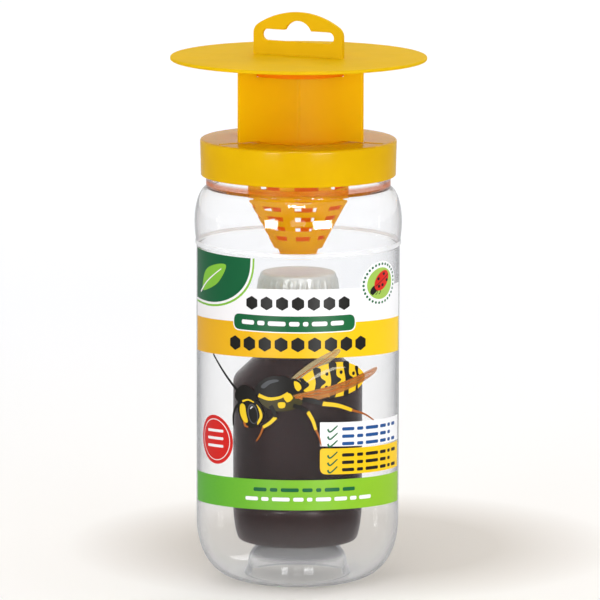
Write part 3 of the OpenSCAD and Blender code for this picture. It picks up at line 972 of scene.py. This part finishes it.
def draw_wasp(patch):
    """A common wasp seen from the side, head low on the left."""
    draw_marks(
        patch, ("pale_wing", 3, None, (-3, 97), (3, 102.5), (10, 107), (17.5, 110), (19, 108.5), (13, 103.5),
         (6, 99), (0, 95.5)),
        ("amber", 4, (0.4, 0.2), (-1.5, 96.6), (6, 101.8), (17.5, 109.2)),
        ("amber", 4, (0.4, 0.2), (-1.5, 96.6), (6, 101.8), (14.5, 105.8)))
    draw_abdomen(patch)
    draw_marks(
        patch, ("olive", 4, None, (-17.5, 88), (-14, 84), (-7, 82.6), (0, 84.5), (3, 88.5), (0.5, 92),
         (-6, 92), (-14, 91)),
        ("black", 5, None, (-19.5, 90), (-17.5, 94.8), (-12, 98), (-5.5, 98.2), (-1, 95.5),
         (0.5, 91.5), (-5, 89.5), (-13, 88.2)),
        ("slate", 6, None, (-16.5, 93.4), (-13.5, 96), (-9.5, 96.8), (-8.5, 96), (-12, 94.8),
         (-15, 92.6)),
        ("black", 6, None, (-2.6, 97.4), (0.6, 96.6), (2.8, 93.6), (2, 91), (-0.6, 90.4),
         (-2.4, 92.6), (-1.8, 95)),
        ("wasp_yellow", 7, None, (-1.6, 96.2), (0.6, 95.4), (1.6, 93.2), (0.2, 91.8), (-1.2, 93.2)),
        ("wasp_yellow", 7, (1.7, 1.0), (-17.6, 89.4), (-13, 88), (-8, 88.8), (-4.2, 91)),
        ("wasp_yellow", 7, None, (-6.4, 89.6), (-3.6, 90.8), (-2.2, 88.6), (-4.6, 86.8)),
        ("wasp_yellow", 7, None, (-8.6, 86.4), (-5.6, 86.6), (-5.8, 84.4), (-8.2, 84.2)))
    draw_head(patch)
    draw_leg(patch, 10, (-12, 85), (-9.6, 80), (-15.4, 75.2), (-18.6, 68.8))
    draw_leg(patch, 10, (-2, 85.4), (4.4, 82.6), (8, 74.4), (10.4, 67.2))
    draw_leg(patch, 10, (2, 88), (11, 86), (25, 82.2), (37.5, 76.4), thick=2.1)
    veins = (0.5, 0.25)
    draw_marks(
        patch, ("amber_wing", 7, None, (-2, 89.6), (6, 92), (18, 94.6), (30, 98), (39, 100), (38.5, 97.6),
         (30, 94), (18, 90.2), (6, 87.4)),
        ("amber", 8, veins, (-1, 89), (12, 92.6), (26, 96.2), (38, 99)),
        ("amber", 8, veins, (-1, 88.7), (12, 90.6), (26, 94), (35, 96.6)),
        ("amber", 8, veins, (8, 91.4), (16, 91.8), (25, 95.8)),
        ("amber", 8, veins, (18, 93.6), (22, 93.2), (31, 97.2)))


def draw_abdomen(patch):
    """Yellow abdomen with toothed black bands, spots between them, and a dark tip."""
    draw_marks(patch, ("wasp_yellow", 4, None, (1, 96.5), (7, 101.4), (15, 104), (23, 103.6),
                       (29.5, 100.2), (32, 96), (28, 91.5), (19, 88.8), (10, 89.4), (2.5, 92)))
    for s, top, low, wide in ((1.6, 97.4, 91.8, 3.2), (7.6, 101.6, 89.6, 4.6), (14.6, 103.8, 88.8, 4.8),
                              (21.4, 103.8, 89, 4.2), (27.4, 101.4, 91, 3.0)):
        middle, end = (top + low) / 2, s + wide
        patch(curve([(s - 0.9, top), (end - 2.2, top), (end - 2.0, middle + 2.2), (end + 0.3, middle),
                     (end - 2.0, middle - 2.2), (end - 2.4, low + 0.3), (s - 0.5, low + 0.2),
                     (s + 0.3, middle)], 5), 5, "black")
    for s, z in ((12.9, 99.2), (12.7, 93.2), (19.6, 99.6), (19.6, 93), (25.8, 98.6)):
        patch(oval(s, z, 0.75, 0.85, 0, 16), 6, "black")
    draw_marks(patch, ("sheen", 7, None, (3.5, 95.4), (9, 99.6), (16, 102), (22, 101.6), (16, 100.8),
                       (9, 98)))


def draw_head(patch):
    """Black head with yellow brow and cheek, a dark eye, jaws and two feelers."""
    draw_marks(
        patch, ("black", 6, None, (-29, 90.5), (-25, 93.4), (-20.4, 91.6), (-18.8, 87.5), (-21, 84.5),
         (-26, 85), (-29.4, 87)),
        ("black", 7, None, (-27.4, 86), (-22, 87.6), (-17, 85.6), (-15.4, 80.6), (-17.6, 76),
         (-21.6, 74.4), (-25.4, 76.6), (-27.8, 81)),
        ("wasp_yellow", 8, None, (-26.6, 84.6), (-24.4, 84.4), (-23.6, 80.6), (-22.8, 77),
         (-24.8, 77), (-26.8, 80.6)),
        ("wasp_yellow", 8, None, (-18.6, 85.2), (-16.4, 82.8), (-15.8, 79.6), (-17.8, 76.2),
         (-18.2, 77.2), (-17, 80), (-17.6, 83)),
        ("wasp_yellow", 8, (0.9, 0.5), (-25.6, 86), (-22.6, 86.9), (-19.8, 86)))
    patch(oval(-20.4, 80.8, 2.5, 4.5, 10), 8, "slate")
    patch(oval(-20.2, 80.6, 2.0, 3.9, 10), 9, "black")
    draw_marks(
        patch, ("white", 10, (0.5, 0.3), (-21.4, 83), (-20.9, 83.8), (-20.2, 83.9)),
        ("amber", 8, (1.2, 0.6), (-24.6, 77), (-24, 75.2), (-22.6, 74.8)),
        ("black", 7, (1.3, 0.9), (-26, 89), (-30.4, 92.4), (-37, 98.6), (-43.6, 105)),
        ("black", 8, (1.3, 0.9), (-26.4, 85.4), (-29, 83), (-30.4, 79.5), (-30.4, 74.6)))


def draw_badge(patch):
    """Plain oval badge with a simple beetle and a ring of dots."""
    s, z, wide, dots = 42.3, 137, 1.3, 30
    patch(oval(s, z, 9.9 * wide, 9.9), 2, "white")
    for k in range(dots):
        a = TAU * k / dots
        patch(oval(s + 8.6 * wide * cos(a), z + 8.6 * sin(a), 0.7, 0.6, 0, 10), 3, "deep_green")
    patch(oval(s, z, 7 * wide, 7), 3, "light_green")
    patch(oval(s - 3.6 * wide, z - 2.4, 2.1 * wide, 1.7, 30), 4, "black")
    patch(oval(s + 0.8, z + 1.2, 4.4 * wide, 3.8, 30), 5, "red")
    patch(stroke([(s - 3.8, z - 0.9), (s + 0.9, z + 1.2), (s + 5.6, z + 3.4)], 0.3, 0.3), 6, "black")
    for ds, dz in ((-1.8, 2.2), (2.2, 4), (1.2, -0.8), (4.6, 1), (-1.4, -1.2)):
        patch(oval(s + ds, z + dz, 0.85, 0.7, 0, 14), 6, "black")
    for foot in (s - 4.4, s - 2.2, s):
        leg = [(foot, z - 2.4), (foot - 0.6, z - 4.2), (foot - 1.6, z - 4.6)]
        patch(stroke(leg, 0.5, 0.3), 4, "black")


def draw_corner_block(patch):
    """Plain dark block with a leaf in it, at the label's upper left."""
    left, low, high = -62.9, 127.8, 150.0
    for layer, ink, grow in ((2, "light_green", 1.9), (3, "white", 1.0), (4, "deep_green", 0.0)):
        round_side = corner(-53, low - grow, -21.6 + grow, high, 2.5, 16)
        patch([(left, high), (left, low - grow)] + round_side, layer, ink)
    leaf = [(-54, 133), (-49, 133.2), (-40, 137.6), (-35, 145.6), (-43, 145), (-51, 141)]
    patch(curve(leaf, 8), 5, "light_green")
    patch(stroke([(-56, 131.2), (-49, 136.8), (-38, 143.8)], 0.9, 0.4), 6, "white")


def draw_panels(patch):
    """White and yellow panels, each with three ticked rows."""
    left, right, slope = 9.9, 61.2, -0.05
    patch([(left, 67.0), (right, 63.9), (right, 75.2), (left, 77.7)], 3, "white")
    yellow = [(left, 54.4, 3.2), (right, 51.8, 0.2), (right, 63.4, 0.2), (left, 66.0, 1.5)]
    patch(rounded(yellow, 1.0, 6), 3, "yellow")
    for k in range(3):
        for top, ink, reach in ((74.3, "blue", 56), (62.6, "black", 57)):
            z = top - 3.3 * k
            patch(stroke([(13.4, z + 0.2), (14.6, z - 1.1), (18, z + 1.5)], 0.9, 0.6), 4, "deep_green")
            draw_bars(patch, 20.2, reach - 3 * (k % 2), z - 0.9, 1.5, 4, ink, slope=slope)


def make_print(inks):
    names = list(inks)
    bm = bmesh.new()

    def patch(outline, layer, ink):
        add_patch(bm, outline, layer, names.index(ink))

    for low, high, layer, ink in ((121.5, 137.0, 1, "white"), (106.4, 121.9, 2, "yellow"),
                                  (38.4, 51.9, 1, "leaf_green")):
        patch(band(-63.0, 63.0, low, high), layer, ink)
    for grow, layer, ink in ((0.5, 3, "white"), (0.0, 4, "deep_green")):
        left, right, low, high = -30.2 - grow, 26.4 + grow, 118.0 - grow, 125.0 + grow
        patch(rounded([(left, low), (right, low), (right, high), (left, high)], 3.3, 8), layer, ink)
    draw_comb(patch, 7, 130.6, 3.1, 7.0, 4)
    draw_comb(patch, 9, 112.4, 3.3, 7.4, 4)
    draw_bars(patch, -26, 22, 120.6, 2.0, 5, "white")
    draw_bars(patch, -20, 30, 46.6, 1.7, 3, "deep_green", sag=True)
    draw_bars(patch, -24, 36, 42.4, 1.7, 3, "white", sag=True)
    draw_corner_block(patch)
    draw_badge(patch)
    for across, ink, layer in ((11.4, "red", 2), (9.7, "white", 3), (9.3, "red", 4)):
        patch(oval(-42.2, 66.8, across, across * 0.96), layer, ink)
    for k in range(3):
        z = 69.8 - 3.4 * k
        bar = [(-48, z), (-36.6, z + 0.8), (-36.6, z + 2), (-48, z + 1.2)]
        patch(rounded(bar, 0.5, 4), 5, "white")
    draw_panels(patch)
    draw_wasp(patch)
    make_piece(bm, "label_print", [inks[n] for n in names], "jar", sharp=60)


# ---- stage

def make_floor(material):
    """Round floor, a hair below the object's foot."""
    radius, sides, gap = 9, 96, 0.0002
    bm = bmesh.new()
    angles = [TAU * i / sides for i in range(sides)]
    bm.faces.new([bm.verts.new((radius * cos(a), radius * sin(a), 0)) for a in angles])
    mesh = bpy.data.meshes.new("floor")
    bm.to_mesh(mesh)
    bm.free()
    mesh.materials.append(material)
    floor = link("floor", mesh)
    floor.location.z = -gap


def make_softbox(name, azimuth, elevation, away, width, height, power, matte=True, gloss=True):
    """Lamp aimed at the middle of the object. Azimuth is in degrees from the front, + to the right.
    It lights matt surfaces, shows in glossy ones, or both."""
    turn, lift = radians(azimuth), radians(elevation)
    out = Vector((sin(turn) * cos(lift), -cos(turn) * cos(lift), sin(lift)))
    light = bpy.data.lights.new(name, "AREA")
    light.shape = "RECTANGLE"
    light.size, light.size_y = width, height
    light.energy = power
    holder = link(name, light)
    holder.location = Vector((0, 0, 0.13)) + out * away
    holder.rotation_mode = "QUATERNION"
    holder.rotation_quaternion = (-out).to_track_quat("-Z", "Y")
    holder.visible_camera = False
    holder.visible_diffuse = matte
    holder.visible_glossy = gloss


def make_world(strength, front_strength):
    """White light tent, darker towards the front where its opening is. It shows as a plain backdrop."""
    world = bpy.data.worlds.new("studio")
    world.use_nodes = True
    tree = world.node_tree
    tree.nodes.clear()
    ahead = add(tree, "SeparateXYZ", {"Vector": add(tree, "TexCoord").outputs["Generated"]}).outputs["Y"]
    tent = span(tree, ahead, front_strength, strength, -0.92, -0.72)
    light = add(tree, "Background", {"Strength": tent}).outputs[0]
    backdrop = add(tree, "Background", {"Strength": strength}).outputs[0]
    seen = add(tree, "LightPath").outputs["Is Camera Ray"]
    add(tree, "OutputWorld", {"Surface": mix(tree, seen, light, backdrop)})
    bpy.context.scene.world = world


def make_camera():
    camera = bpy.data.cameras.new("camera")
    camera.lens = 366
    camera.sensor_width = 36
    camera.clip_end = 50
    holder = link("camera", camera)
    holder.location = (0.00088, -2.684, 0.560)
    holder.rotation_mode = "QUATERNION"
    down = Quaternion((1, 0, 0), radians(90 - 9.206))
    roll = Quaternion((0, 0, 1), radians(0.16))
    holder.rotation_quaternion = down @ roll
    bpy.context.scene.camera = holder


# ---- build

clear_pet = jar_plastic((0.994, 0.995, 0.996, 1), srgb(244, 245, 247), 0.05)
film = thin_clear("label_film", (0.99, 0.992, 0.994, 1), (0.96, 0.965, 0.97, 1),
                  srgb(240, 241, 244), 0.003, 0.08, 0.1, 0.003)
bottle_plastic = thin_clear("bottle_plastic", (0.55, 0.42, 0.42, 1), (0.34, 0.26, 0.26, 1),
                            srgb(54, 26, 24), 0.5, 0.14, 0.15, 0.006)
closure_plastic = milky_plastic("closure_plastic", srgb(250, 255, 255), 0.04, 0.15)
gold_cap = moulded_plastic("gold_cap", (226, 178, 2), (236, 190, 4), 0.16, 0.06,
                           (255, 176, 2), 0.15, 0.01)
gold_vane = moulded_plastic("gold_vane", (246, 208, 2), (252, 216, 4), 0.3, 0.05,
                            (255, 226, 2), 0.55)
gold_basket = moulded_plastic("gold_basket", (252, 218, 2), (255, 226, 4), 0.3, 0.03,
                              (255, 204, 2), 0.55)
# Painted shade: a deeper orange copy of the gold, for the shaded inside of the funnel and the collar under
# the roof.
gold_painted_shade = moulded_plastic("gold_painted_shade", (250, 158, 2), (255, 168, 4), 0.3, 0.03,
                              (255, 150, 2), 0.5)
gold_roof = moulded_plastic("gold_roof", (230, 198, 4), (240, 206, 8), 0.5, 0.04,
                            (255, 206, 2), 0.3)
inks = {name: printed("ink_" + name, *look) for name, look in INKS.items()}

make_jar(clear_pet)
make_cap(gold_cap)
make_basket(gold_basket, gold_painted_shade)
make_vanes(gold_vane)
make_roof(gold_roof, gold_painted_shade)
make_bottle(bottle_plastic)
make_liquid(dark_liquid())
make_closure(closure_plastic)
make_film(film)
make_print(inks)

foam = seal_foam()
for node, finish in (("lid_seal_ring", foam), ("closure_wad", foam), ("foil_seal", seal_foil())):
    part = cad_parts[node]
    part.data.materials.clear()
    part.data.materials.append(finish)

make_floor(studio_floor())
for lamp in (("softbox_left", -30, 6.5, 3.3, 0.9, 0.72, 16), ("softbox_right", 27, 6.5, 3.3, 1.35, 0.72, 22),
             ("softbox_back", 160, 40, 3.3, 1.4, 1.0, 16), ("softbox_top", 0, 72, 3.3, 1.2, 1.2, 14)):
    make_softbox(*lamp)
make_softbox("fill_front", 0, 10, 3.3, 0.9, 0.6, 9, gloss=False)
for lamp in (("window_left", -30, 6.5, 3.2, 0.75, 0.6, 110), ("window_right", 27, 6.5, 3.2, 1.15, 0.6, 170),
             ("window_top", -2, 50, 3.2, 0.95, 0.45, 100)):
    make_softbox(*lamp, matte=False)
make_world(1.06, 0.1)
make_camera()
bpy.context.scene.view_settings.view_transform = "Standard"
bpy.context.scene.cycles.transparent_max_bounces = 32
